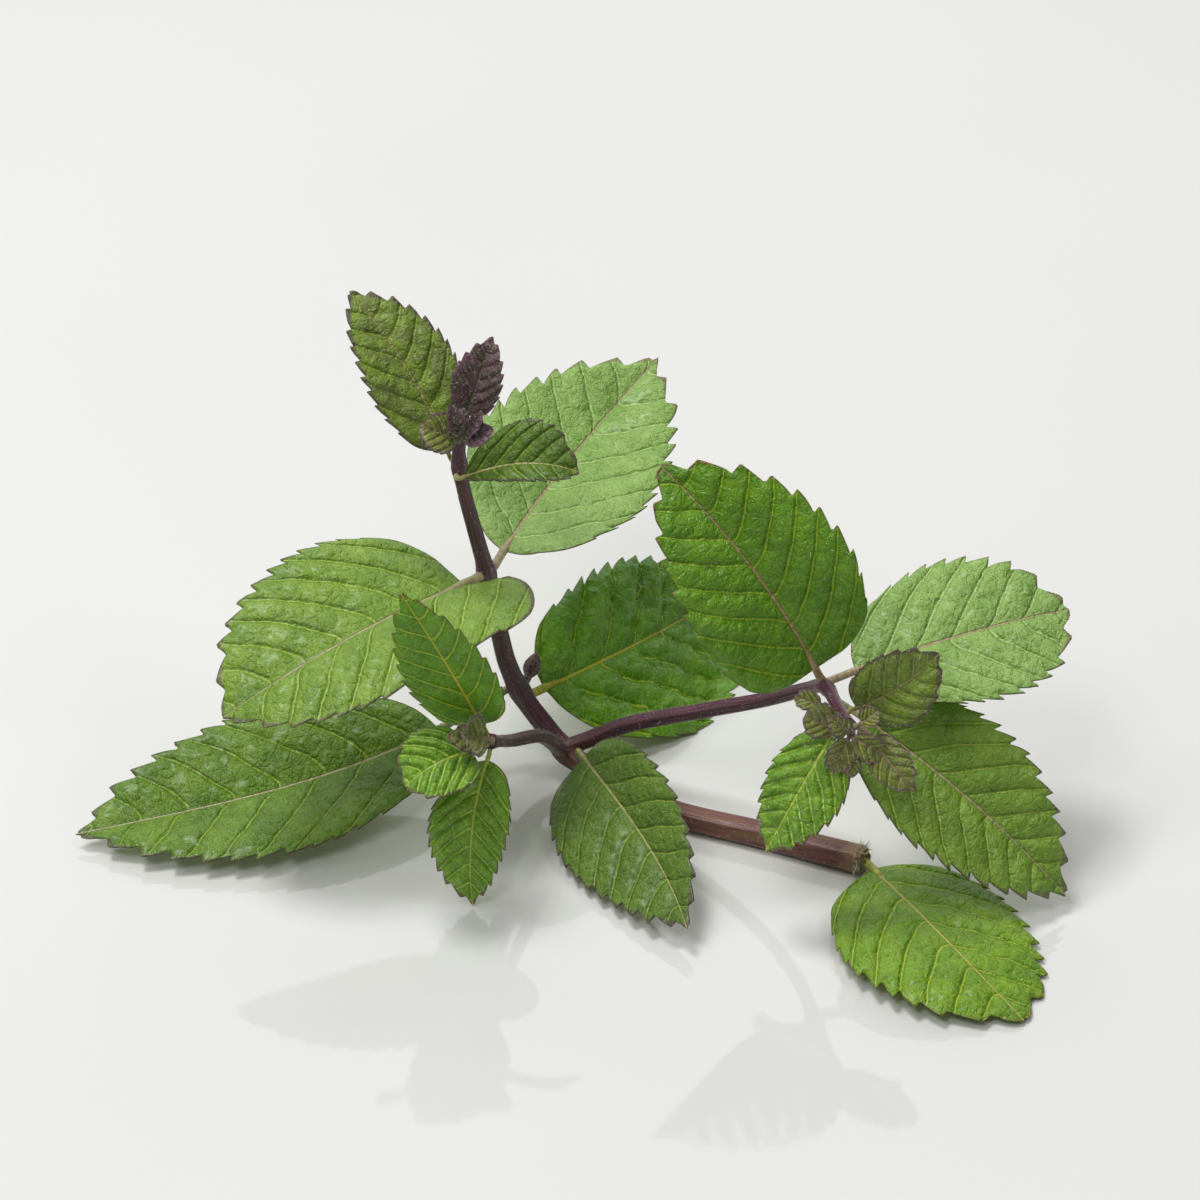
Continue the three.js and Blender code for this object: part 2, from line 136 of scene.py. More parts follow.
# base, tip, face and the bends are the CAD leaves' own, but for top_right_leaf, tip_leaf_left and
# tip_leaf_right. teeth counts one side's teeth and veins one side's side veins, puff is how far the flesh
# stands up between the veins, and on names the stem it grows from.
LEAVES = {
    "base_leaf": dict(
        base=(20.9, -9.2, 1.9), tip=(40.2, -41.4, 0.8), face=(0.05, 0, 1), width=27.5, stalk=2,
        arch=2.2, sway=1.4, fold=-3, twist=8, widest=0.43, fullness=1.2,
        on="main", finish="fresh", teeth=11, tooth=1.0, veins=6.5, puff=0.42, wave=0.25),
    "low_front_leaf": dict(
        base=(-18.8, 9.9, 6.6), tip=(-4.3, -26.4, 4.4), face=(-0.6, -0.4, 0.7), width=20, stalk=1.5,
        arch=1, sway=-1.8, hook=-2, fold=16, twist=10, widest=0.38, fullness=1.45, skew=0.14,
        on="main", finish="greyish", teeth=13, tooth=0.8, veins=7.5, puff=0.3, wave=0.3),
    "low_left_leaf": dict(
        base=(-29.3, 17.7, 12), tip=(-89, -3, 2.2), face=(-0.06, -0.3, 0.95), width=26.5, stalk=11,
        arch=-1.4, sway=-2.9, hook=2, fold=14, widest=0.42, fullness=1.45,
        on="main", finish="deep", teeth=14, tooth=1.0, veins=8, puff=0.3, wave=0.45),
    "low_back_leaf": dict(
        base=(-25.2, 18.5, 11), tip=(1.5, 56.5, 0.5), face=(0.42, -0.3, 0.87), width=29.5, stalk=2,
        arch=2, sway=1, fold=12, tilt=-6, twist=9, widest=0.45, fullness=1, skew=0.14,
        on="main", finish="glossy", teeth=12, tooth=1.1, veins=6, puff=1.0, wave=1.5),
    "middle_front_leaf": dict(
        base=(-33.6, 13.2, 34), tip=(-67, -8.5, 26.4), face=(0, -0.15, 0.98), width=29, stalk=1.6,
        arch=3, sway=-1, fold=10, tilt=4, twist=6, widest=0.42, fullness=1.1, skew=0.13, lobe=10,
        on="main", finish="light", teeth=13, tooth=0.9, veins=7, puff=0.42, wave=0.4),
    "middle_back_leaf": dict(
        base=(-30.5, 16.4, 34.4), tip=(-7.5, 60, 41), face=(0.19, -0.2, 0.96), width=28.5, stalk=4.5,
        arch=-5, sway=-2.5, fold=18, twist=-10, widest=0.44, fullness=1.5, skew=0.04,
        on="main", finish="pale", teeth=13, tooth=1.1, veins=7, puff=0.3, wave=0.3),
    "top_left_leaf": dict(
        base=(-36.4, 15.6, 52.6), tip=(-50, 27.5, 72), face=(0.3, -0.72, 0.65), width=14, stalk=1.5,
        arch=2, sway=0.6, fold=14, twist=-14, widest=0.43, fullness=1.3,
        on="main", finish="bronze", teeth=11, tooth=0.6, veins=7, puff=0.45, wave=0.25),
    "top_right_leaf": dict(
        base=(-35, 12.2, 51.5), tip=(-18.8, 10.6, 53.6), face=(0.05, -0.5, 0.85), width=9.6, stalk=0.6,
        arch=1.8, sway=-0.9, hook=0.6, fold=26, twist=-12, widest=0.58, fullness=1.1, skew=-0.3,
        on="main", finish="greyish", teeth=10, tooth=0.4, veins=6, puff=0.35, wave=0.15),
    "tip_leaf_back": dict(
        base=(-34.1, 16.3, 58.6), tip=(-30.5, 20, 69.3), face=(-0.1, -0.87, 0.5), width=7.4,
        arch=0.7, fold=14, widest=0.38, fullness=1.3,
        on="main", finish="purple", teeth=7, tooth=0.35, veins=6, puff=0.35, wave=0.2),
    "tip_leaf_left": dict(
        base=(-35.4, 13.7, 56.6), tip=(-40.4, 12.4, 59.6), face=(0.3, -0.75, 0.6), width=6.4,
        arch=1.3, fold=34, widest=0.5, fullness=0.9,
        on="main", finish="young", teeth=5, tooth=0.2, veins=4, puff=0.2, wave=0.3),
    "tip_leaf_right": dict(
        base=(-34.4, 13.2, 57.2), tip=(-30.4, 11.6, 59.8), face=(-0.4, -0.8, 0.55), width=4.4,
        arch=0.9, fold=38, widest=0.5, fullness=1,
        on="main", finish="purple", teeth=5, tooth=0.2, veins=4, puff=0.2, wave=0.3),
    "left_shoot_leaf_up": dict(
        base=(-31.6, -8.9, 24.8), tip=(-42.5, -8.2, 46.8), face=(-0.3, -0.9, 0), width=14.5, stalk=1,
        arch=0.8, sway=0.9, fold=14, twist=-9, widest=0.36, fullness=1.35,
        on="left", finish="glossy", teeth=9, tooth=0.6, veins=7, puff=0.22, wave=0.15),
    "left_shoot_leaf_down": dict(
        base=(-31, -10.2, 21.6), tip=(-33.4, -16.5, 0.3), face=(0.05, -0.96, 0.25), width=11.5, stalk=1,
        arch=1, sway=1.3, fold=10, twist=-3, widest=0.4, fullness=1.4, skew=0.1,
        on="left", finish="hairy", teeth=11, tooth=0.5, veins=8, puff=0.6, wave=0.2),
    "left_shoot_leaf_young": dict(
        base=(-32.9, -11.6, 23.2), tip=(-42.2, -16.6, 21), face=(-0.19, -0.4, 0.9), width=12,
        arch=1.5, fold=12, twist=-12, widest=0.46, fullness=0.8,
        on="left", finish="hairy", teeth=7, tooth=0.45, veins=5, puff=0.6, wave=0.3),
    "left_shoot_leaf_small": dict(
        base=(-31.2, -12.6, 26), tip=(-34.4, -15.2, 28.6), face=(0.1, -0.7, 0.7), width=7,
        arch=-0.5, fold=35, widest=0.5, fullness=0.9,
        on="left", finish="young", teeth=4, tooth=0.2, veins=4, puff=0.2, wave=0.1),
    "right_shoot_leaf_tall": dict(
        base=(13.6, -4.3, 30.6), tip=(-8, 3.3, 59.5), face=(0.1, -0.9, 0.35), width=26, stalk=1,
        arch=2.5, sway=1.6, fold=22, twist=-16, widest=0.36, fullness=1.1, skew=0.05,
        on="right", finish="rich", teeth=10, tooth=1.0, veins=7.5, puff=0.4, wave=0.35),
    "right_shoot_leaf_back": dict(
        base=(16, -3.6, 29.4), tip=(48.6, 9.1, 32), face=(0.04, -0.3, 0.95), width=25, stalk=3,
        arch=1.5, fold=8, twist=-20, widest=0.46, fullness=1.2,
        on="right", finish="pale", teeth=11, tooth=1.0, veins=6, puff=0.4, wave=0.3),
    "right_shoot_leaf_front": dict(
        base=(15.9, -6.5, 28), tip=(47.7, -17.3, 2.6), face=(0.29, -0.71, 0.64), width=21.5, stalk=4.5,
        arch=2, sway=-0.9, fold=15, twist=6, widest=0.4, fullness=1.4,
        on="right", finish="light", teeth=13, tooth=0.9, veins=8, puff=0.4, wave=0.3),
    "right_shoot_leaf_upper": dict(
        base=(17.7, -13.4, 31.4), tip=(28.9, -14.5, 41.4), face=(-0.14, -0.95, 0.27), width=11, stalk=0.8,
        arch=1, sway=0.6, fold=13, widest=0.42,
        on="right", finish="bronze", teeth=7, tooth=0.4, veins=5.5, puff=0.25, wave=0.15),
    "right_shoot_leaf_lower": dict(
        base=(15.2, -15.6, 29.3), tip=(6.2, -22.2, 14.1), face=(-0.4, -0.7, 0.55), width=12, stalk=0.6,
        arch=0.3, fold=6, twist=-4, widest=0.39, fullness=1.3, skew=-0.08,
        on="right", finish="hairy", teeth=9, tooth=0.55, veins=7, puff=0.6, wave=0.2),
    "right_shoot_leaflet": dict(
        base=(14.2, -9.4, 28.9), tip=(10.3, -7.8, 29.4), face=(0, -0.7, 0.7), width=3.4,
        arch=0.5, fold=30, widest=0.45, fullness=1,
        on="right", finish="young", teeth=4, tooth=0.2, veins=4, puff=0.12, wave=0.1),
    "right_bud_leaf_left": dict(
        base=(15.9, -17.8, 31.4), tip=(11.2, -16.9, 33), face=(0, -0.9, 0.2), width=6,
        arch=0.6, fold=20, widest=0.5, fullness=0.9, skew=0.2,
        on="right", finish="young", teeth=4, tooth=0.25, veins=4, puff=0.2, wave=0.15),
    "right_bud_leaf_right": dict(
        base=(18.4, -18, 32.2), tip=(20.9, -17.8, 34.4), face=(-0.2, -0.75, 0.6), width=3.6,
        arch=0.3, fold=30, widest=0.5, fullness=0.9,
        on="right", finish="young", teeth=3, tooth=0.2, veins=4, puff=0.12, wave=0.1),
    "right_bud_leaf_front": dict(
        base=(17.7, -19.5, 29.8), tip=(17.3, -21.3, 26), face=(0, -0.8, 0.6), width=3,
        arch=0.4, fold=25, widest=0.45, fullness=1,
        on="right", finish="young", teeth=4, tooth=0.2, veins=4, puff=0.12, wave=0.1),
    "right_bud_leaf_outer": dict(
        base=(19.8, -17.9, 30.5), tip=(25.7, -23.3, 25.3), face=(-0.25, -0.78, 0.55), width=6,
        arch=0.7, fold=12, widest=0.42, fullness=1.2,
        on="right", finish="young", teeth=6, tooth=0.3, veins=5, puff=0.2, wave=0.15),
}
# The smallest leaves round the growing points lie inside the space of the CAD leaves next to them.
CROWN_LEAVES = {
    "tip_crown_leaf": dict(
        base=(-34.8, 13.1, 58), tip=(-36.2, 12.2, 63.4), face=(0.2, -0.9, 0.2), width=3.4,
        arch=0.7, fold=42, widest=0.45, fullness=1,
        on="main", finish="purple", teeth=5, tooth=0.2, veins=4, puff=0.2, wave=0.3),
    "tip_crown_flap": dict(
        base=(-34.6, 12.9, 57.6), tip=(-31.8, 12, 62.2), face=(-0.3, -0.9, 0.3), width=3.0,
        arch=0.6, fold=40, widest=0.45, fullness=1,
        on="main", finish="purple", teeth=5, tooth=0.2, veins=4, puff=0.2, wave=0.3),
    "right_crown_leaf_low": dict(
        base=(17.2, -18.2, 30.6), tip=(14.6, -20.6, 26.6), face=(0.1, -0.85, 0.5), width=4.6,
        arch=0.9, fold=34, widest=0.45, fullness=1,
        on="right", finish="young", teeth=5, tooth=0.25, veins=4, puff=0.25, wave=0.2),
    "right_crown_leaf_wide": dict(
        base=(17.4, -18.4, 30.8), tip=(22.2, -19.8, 28.6), face=(-0.1, -0.9, 0.4), width=4.8,
        arch=0.9, fold=34, widest=0.45, fullness=1,
        on="right", finish="young", teeth=5, tooth=0.25, veins=4, puff=0.25, wave=0.2),
    "right_crown_leaf_high": dict(
        base=(17.2, -18.2, 31.2), tip=(14.2, -19.2, 34.6), face=(0.3, -0.95, 0.1), width=3.8,
        arch=0.8, fold=30, widest=0.45, fullness=1,
        on="right", finish="young", teeth=5, tooth=0.2, veins=4, puff=0.2, wave=0.2),
    "left_crown_leaf": dict(
        base=(-31.2, -10.6, 23.8), tip=(-36.4, -14.2, 27.6), face=(0.2, -0.7, 0.6), width=5,
        arch=0.9, fold=38, widest=0.5, fullness=0.9,
        on="left", finish="young", teeth=5, tooth=0.25, veins=4, puff=0.3, wave=0.3),
}
LEAF_DEFAULTS = dict(stalk=0.5, arch=0, sway=0, hook=0, fold=0, tilt=0, twist=0, widest=0.42, fullness=1.25,
                     skew=0, lobe=0)


def noise_field(x, y, seed):
    """Smooth noise from -1 to 1 over a plane, one lump per unit."""
    grid = np.random.default_rng(seed).uniform(-1, 1, (64, 64))
    xi, yi = np.floor(x).astype(int), np.floor(y).astype(int)
    fx, fy = x - xi, y - yi
    fx, fy = fx * fx * (3 - 2 * fx), fy * fy * (3 - 2 * fy)
    low = grid[xi % 64, yi % 64] * (1 - fx) + grid[(xi + 1) % 64, yi % 64] * fx
    high = grid[xi % 64, (yi + 1) % 64] * (1 - fx) + grid[(xi + 1) % 64, (yi + 1) % 64] * fx
    return low * (1 - fy) + high * fy


class Blade:
    """The middle surface of one leaf: where a point of the flat leaf goes when the leaf is bent."""

    def __init__(self, shape):
        self.shape = {**LEAF_DEFAULTS, **shape}
        self.root = np.array(shape["base"], float)
        self.run = np.array(shape["tip"], float) - self.root
        self.length = np.linalg.norm(self.run)
        self.ahead = self.run / self.length
        face = np.array(shape["face"], float)
        self.up = face - face.dot(self.ahead) * self.ahead
        self.up /= np.linalg.norm(self.up)
        self.right = np.cross(self.ahead, self.up)
        self.stalk_share = self.shape["stalk"] / self.length
        self.stalk_half = max(STALK_MIN, STALK_SHARE * shape["width"])

    def outline(self, blade):
        rise = self.shape["fullness"] * self.shape["widest"]
        fall = self.shape["fullness"] * (1 - self.shape["widest"])
        most = self.shape["widest"] ** rise * (1 - self.shape["widest"]) ** fall
        return np.clip(blade, 0, 1) ** rise * np.clip(1 - blade, 0, 1) ** fall / most

    def half_width(self, blade, hand):
        wide = 0.5 * self.shape["width"] * self.outline(blade) * (1 + self.shape["skew"] * hand)
        least = self.stalk_half + (TIP_HALF_WIDTH - self.stalk_half) * blade
        return np.maximum(wide, least)

    def place(self, blade, reach, pull=0.0):
        """Points of the middle surface, and the way its upper side looks there."""
        s = self.shape
        share = self.stalk_share + (1 - self.stalk_share) * blade
        bow = 4 * share * (1 - share)
        turn = np.radians(s["twist"]) * (share - 0.5)
        right = np.cos(turn)[..., None] * self.right + np.sin(turn)[..., None] * self.up
        up = np.cos(turn)[..., None] * self.up - np.sin(turn)[..., None] * self.right
        soft = np.sqrt(reach ** 2 + CREASE ** 2)
        hand = reach / soft
        rise = np.radians(s["fold"] + s["tilt"] * hand) * np.minimum(1, FOLD_GROWTH * self.outline(blade))
        lift = s["arch"] * bow + s["hook"] * bow * (2 * share - 1)
        point = self.root + share[..., None] * self.run + lift[..., None] * self.up
        point = point + (s["sway"] * bow)[..., None] * self.right - np.asarray(pull)[..., None] * self.ahead
        point = point + (reach * np.cos(rise))[..., None] * right
        point = point + ((soft - CREASE) * np.sin(rise))[..., None] * up
        normal = up * np.cos(rise)[..., None] - right * (hand * np.sin(rise))[..., None]
        return point, normal


def grid_faces(rows, columns, start, flip):
    """Four-sided faces of a grid of points numbered from start."""
    r, c = np.meshgrid(np.arange(rows - 1), np.arange(columns - 1), indexing="ij")
    a = (start + r * columns + c).ravel()
    faces = np.column_stack([a, a + 1, a + columns + 1, a + columns])
    return faces[:, ::-1] if flip else faces


def tube(line, radius, start, sides=ROD_SIDES):
    """A closed tube round a line of points: its points and faces, numbered from start."""
    way = np.gradient(line, axis=0)
    way /= np.linalg.norm(way, axis=1)[:, None]
    side = np.cross(way[0], (0.3, 0.2, 1.0))
    points = []
    for place, ahead, size in zip(line, way, radius):
        side = side - side.dot(ahead) * ahead
        side /= np.linalg.norm(side)
        other = np.cross(ahead, side)
        angle = np.arange(sides) * 2 * np.pi / sides
        points.append(place + size * (np.outer(np.cos(angle), side) + np.outer(np.sin(angle), other)))
    count = len(line)
    points = np.vstack(points + [line[:1], line[-1:]])
    faces = []
    for r in range(count - 1):
        for k in range(sides):
            n = (k + 1) % sides
            faces.append((r * sides + k, r * sides + n, (r + 1) * sides + n, (r + 1) * sides + k))
    ends = []
    for k in range(sides):
        n = (k + 1) % sides
        ends.append((count * sides, n, k))
        ends.append((count * sides + 1, (count - 1) * sides + k, (count - 1) * sides + n))
    return points, [tuple(start + i for i in f) for f in faces + ends]


def add_piece(name, points, faces, attributes, material):
    """A smooth mesh from points in millimetres, with its own attributes on the points."""
    mesh = bpy.data.meshes.new(name)
    mesh.from_pydata((np.asarray(points) * MM).tolist(), [], [tuple(int(i) for i in f) for f in faces])
    mesh.update()
    for key, values in attributes.items():
        values = np.asarray(values, np.float32)
        kind, field = ("FLOAT", "value") if values.ndim == 1 else ("FLOAT_VECTOR", "vector")
        mesh.attributes.new(key, kind, "POINT").data.foreach_set(field, values.ravel())
    mesh.polygons.foreach_set("use_smooth", [True] * len(mesh.polygons))
    mesh.materials.append(material)
    piece = bpy.data.objects.new(name, mesh)
    bpy.context.scene.collection.objects.link(piece)
    return piece


def build_leaf(name, shape, seed):
    """A leaf with a toothed margin, sunk veins with flesh puffed up between them, and its stalk."""
    blade = Blade(shape)
    s = blade.shape
    columns = 73 if s["width"] > 18 else 49
    rows = max(60, int(s["teeth"] * ROWS_PER_TOOTH * ROW_SPARE)) + 1
    # Rows lie closer together near both ends, and columns near the midrib and the margin.
    along = 0.5 - 0.5 * np.cos(np.pi * np.linspace(0, 1, rows) ** 0.97)
    along = 0.35 * along + 0.65 * np.linspace(0, 1, rows)
    side = np.linspace(-1, 1, columns)
    side = np.sign(side) * np.abs(side) ** 0.92
    a, v = np.meshgrid(along, side, indexing="ij")
    hand = np.sign(v)
    # The blade narrows to a sharper point than its outline.
    point_share = np.minimum(1, (1 - a) / POINT_LENGTH + 0.02)
    edge_half = blade.half_width(a, hand) * point_share ** POINT_SHARPNESS
    if s["lobe"]:
        edge_half = edge_half * (1 + 0.4 * (v < 0) * np.exp(-((a - 0.07) / 0.12) ** 2))

    # Teeth point forward: a long outer side, then a short one.
    teeth_phase = s["teeth"] * (a * 1.04) + 0.35 * hand + 0.12 * noise_field(a * 9, hand + 3, seed)
    saw = teeth_phase - np.floor(teeth_phase)
    tooth_out = np.where(saw < TOOTH_OUTER_SIDE, (saw / TOOTH_OUTER_SIDE) ** 0.75,
                         1 - (saw - TOOTH_OUTER_SIDE) / TOOTH_INNER_SIDE)
    fade = np.clip((a - 0.1) / 0.12, 0, 1) * np.clip((1 - a) / 0.05, 0, 1)
    lumpy = 1 + 0.35 * noise_field(a * s["teeth"], hand * 2 + 9, seed + 1)
    cut = np.minimum(s["tooth"] * TOOTH_DEPTH * lumpy * (1 - tooth_out) * fade, 0.6 * edge_half)
    near_margin = np.abs(v) ** 10
    reach = hand * (edge_half * np.abs(v) - cut * near_margin)
    pull = np.where(v < 0, 1.3 * s["lobe"] * np.abs(v) ** 1.6 * blade.outline(a) ** 0.45 * (1 - a) ** 4, 0.0)
    pull = pull - 1.3 * s["tooth"] * tooth_out * fade * np.abs(v) ** 14
    margin_gap = edge_half * (1 - np.abs(v))

    # Where the point lies on the flat leaf, and how far it is along the row of side veins.
    blade_length = blade.length - s["stalk"]
    flat_y = a * blade_length - pull
    lateral = np.abs(reach) / (0.5 * s["width"])
    forward = 0.5 * s["width"] * (VEIN_SLANT * lateral + VEIN_CURVE * lateral ** 2)
    spacing = blade_length / s["veins"]
    phase = (flat_y - forward) / spacing + 0.18 * reach / np.sqrt(reach ** 2 + 1) + 0.35
    phase = phase + 0.06 * noise_field(reach * 0.25, flat_y * 0.25, seed + 2)
    bulge = np.abs(np.sin(np.pi * phase)) ** 0.6
    inside = np.clip(np.abs(reach) / 1.6, 0, 1) * np.clip(margin_gap / 1.6, 0, 1) * np.clip(a / 0.06, 0, 1)
    blister = noise_field(reach * 0.75, flat_y * 0.75, seed + 3) + 0.5 * noise_field(
        reach * 1.5, flat_y * 1.5, seed + 4)
    relief = PUFF * s["puff"] * inside * (0.85 * bulge - 0.4 + 0.28 * blister)
    groove = 0.3 * s["puff"] * np.exp(-(reach / 0.55) ** 2)
    sway = noise_field(a * 3.1, v * 1.3 + 5, seed + 5) * 1.2
    roll = s["wave"] * sway * np.abs(v) ** 1.3 * (4 * a * (1 - a))
    droop = -0.035 * s["width"] * (np.abs(v) ** 3) * blade.outline(a)

    point, normal = blade.place(a, reach, pull)
    height = relief - groove + roll + droop
    thick = BLADE_THICKNESS + (MARGIN_THICKNESS - BLADE_THICKNESS) * np.abs(v) ** 3
    thick = thick * (0.55 + 0.45 * min(1.0, s["width"] / 14))
    upper = point + normal * (height + 0.5 * thick)[..., None]
    lower = point + normal * (height - 0.5 * thick)[..., None]
    lift = np.maximum(0, ABOVE_TABLE - np.minimum(upper[..., 2], lower[..., 2]))
    upper[..., 2] += lift
    lower[..., 2] += lift
    count = rows * columns
    points = [upper.reshape(-1, 3), lower.reshape(-1, 3)]
    faces = [tuple(f) for f in grid_faces(rows, columns, 0, False)]
    faces += [tuple(f) for f in grid_faces(rows, columns, count, True)]
    top = list(range(columns))
    right_side = [r * columns + columns - 1 for r in range(1, rows)]
    end = [(rows - 1) * columns + c for c in range(columns - 2, -1, -1)]
    left_side = [r * columns for r in range(rows - 2, 0, -1)]
    rim = top + right_side + end + left_side
    for i, here in enumerate(rim):
        after = rim[(i + 1) % len(rim)]
        faces.append((after, here, count + here, count + after))

    # The stalk and the midrib under the blade are one thinning rod.
    stem_line = STEM_LINES[s["on"]]
    nearest = np.linalg.norm(stem_line - blade.root, axis=1).argmin()
    if s["on"] == "main" and nearest < 4:
        nearest = 3
    anchor = stem_line[nearest]
    t = np.linspace(0, 1, STALK_STEPS)[:, None]
    bend = blade.root - blade.ahead * 0.55 * np.linalg.norm(blade.root - anchor)
    outer = (1 - t) ** 2 * anchor + 2 * t * (1 - t) * bend + t ** 2 * blade.root
    stalk_start = -blade.stalk_share / (1 - blade.stalk_share)
    b = np.concatenate([np.linspace(stalk_start, 0, 10)[1:], np.linspace(0, ROD_END, ROD_STEPS)[1:]])
    middle, above = blade.place(b, np.zeros(len(b)), np.zeros(len(b)))
    under = np.clip(b / 0.12, 0, 1)
    ends = 1 - 0.8 * np.clip(b, 0, 1) ** 0.8
    rod_radius = blade.stalk_half * ends
    middle = middle - above * (under * (rod_radius * 0.8 + 0.05) + groove.max() * under)[:, None]
    rod = np.vstack([outer, middle])
    flare = 1 + 0.5 * np.exp(-(t[:, 0] * 2.2) ** 2)
    rod_radius = np.concatenate([blade.stalk_half * flare, rod_radius])
    rod_points, rod_faces = tube(rod, rod_radius, 2 * count)
    rod_points[:, 2] = np.maximum(rod_points[:, 2], ROD_ABOVE_TABLE)
    points.append(rod_points)
    faces += rod_faces

    rod_along = np.concatenate([np.full(STALK_STEPS, -0.1), b])
    rod_along = np.concatenate([np.repeat(rod_along, ROD_SIDES), [-0.1, ROD_END]])
    rod_count = len(rod_points)
    flat = np.column_stack([reach.ravel(), flat_y.ravel(), np.zeros(count)])
    lay = np.column_stack([phase.ravel(), margin_gap.ravel(), a.ravel()])
    rod_flat = np.column_stack([np.zeros(rod_count), rod_along * blade_length, np.zeros(rod_count)])
    rod_lay = np.column_stack([np.full(rod_count, 0.5), np.full(rod_count, 9.0), rod_along])
    attributes = {
        "flat": np.vstack([flat, flat, rod_flat]),
        "lay": np.vstack([lay, lay, rod_lay]),
        "kind": np.vstack([
            np.tile((0.0, 0.0, spacing), (count, 1)), np.tile((1.0, 0.0, spacing), (count, 1)),
            np.tile((0.0, 1.0, spacing), (rod_count, 1))]),
    }
    return add_piece(name, np.vstack(points), faces, attributes, LEAF_FINISHES[s["finish"]])


# ---------------------------------------------------------------- finishes


class Nodes:
    """Short words for making a material's nodes."""

    def __init__(self, name):
        self.material = bpy.data.materials.new(name)
        self.material.use_nodes = True
        self.tree = self.material.node_tree
        self.shader = self.tree.nodes["Principled BSDF"]

    def new(self, kind, **settings):
        node = self.tree.nodes.new(kind)
        for key, value in settings.items():
            setattr(node, key, value)
        return node

    def feed(self, socket, value):
        if isinstance(value, bpy.types.NodeSocket):
            self.tree.links.new(value, socket)
        else:
            socket.default_value = value

    def attribute(self, name):
        return self.new("ShaderNodeAttribute", attribute_name=name).outputs["Vector"]

    def object_place(self):
        return self.new("ShaderNodeTexCoord").outputs["Object"]

    def split(self, vector):
        node = self.new("ShaderNodeSeparateXYZ")
        self.feed(node.inputs[0], vector)
        return node.outputs

    def join(self, x, y, z):
        node = self.new("ShaderNodeCombineXYZ")
        for socket, value in zip(node.inputs, (x, y, z)):
            self.feed(socket, value)
        return node.outputs[0]

    def math(self, operation, *values):
        node = self.new("ShaderNodeMath", operation=operation)
        for socket, value in zip(node.inputs, values):
            self.feed(socket, value)
        return node.outputs[0]

    def times(self, first, second):
        return self.math("MULTIPLY", first, second)

    def plus(self, first, second):
        return self.math("ADD", first, second)

    def minus(self, first, second):
        return self.math("SUBTRACT", first, second)

    def ramp(self, value, low, high, start=0.0, end=1.0):
        """Turns low..high into start..end, smoothly, and stops at both."""
        node = self.new("ShaderNodeMapRange", interpolation_type="SMOOTHSTEP")
        for socket, number in zip(node.inputs, (value, low, high, start, end)):
            self.feed(socket, number)
        return node.outputs[0]

    def mix(self, share, first, second):
        """The two colours are on sockets 6 and 7 and the mixed one on output 2."""
        node = self.new("ShaderNodeMix", data_type="RGBA")
        self.feed(node.inputs["Factor"], share)
        self.feed(node.inputs[6], first)
        self.feed(node.inputs[7], second)
        return node.outputs[2]

    def noise(self, vector, scale, detail=2.0):
        node = self.new("ShaderNodeTexNoise")
        self.feed(node.inputs["Vector"], vector)
        node.inputs["Scale"].default_value = scale
        node.inputs["Detail"].default_value = detail
        return node.outputs["Fac"]

    def wander(self, vector, scale, size):
        """A smooth random shift across the leaf, up to size each way."""
        node = self.new("ShaderNodeTexNoise")
        self.feed(node.inputs["Vector"], vector)
        node.inputs["Scale"].default_value = scale
        centred = self.new("ShaderNodeVectorMath", operation="MULTIPLY_ADD")
        self.feed(centred.inputs[0], node.outputs["Color"])
        centred.inputs[1].default_value = (2 * size, 2 * size, 0.0)
        centred.inputs[2].default_value = (-size, -size, 0.0)
        return centred.outputs[0]

    def cells(self, vector, scale, feature="DISTANCE_TO_EDGE"):
        node = self.new("ShaderNodeTexVoronoi", feature=feature)
        self.feed(node.inputs["Vector"], vector)
        node.inputs["Scale"].default_value = scale
        return node.outputs["Distance"]

    def scaled(self, vector, factors):
        node = self.new("ShaderNodeMapping")
        self.feed(node.inputs["Vector"], vector)
        node.inputs["Scale"].default_value = factors
        return node.outputs[0]

    def bump(self, height, distance, strength=1.0):
        node = self.new("ShaderNodeBump")
        self.feed(node.inputs["Height"], height)
        node.inputs["Distance"].default_value = distance
        node.inputs["Strength"].default_value = strength
        self.feed(self.shader.inputs["Normal"], node.outputs[0])

    def set(self, **values):
        for key, value in values.items():
            self.feed(self.shader.inputs[key.replace("_", " ")], value)


def linear(red, green, blue):
    """A colour as a screen shows it, 0 to 255, for a node's socket."""
    def level(value):
        value /= 255
        return value / 12.92 if value <= 0.04045 else ((value + 0.055) / 1.055) ** 2.4
    return (level(red), level(green), level(blue), 1.0)


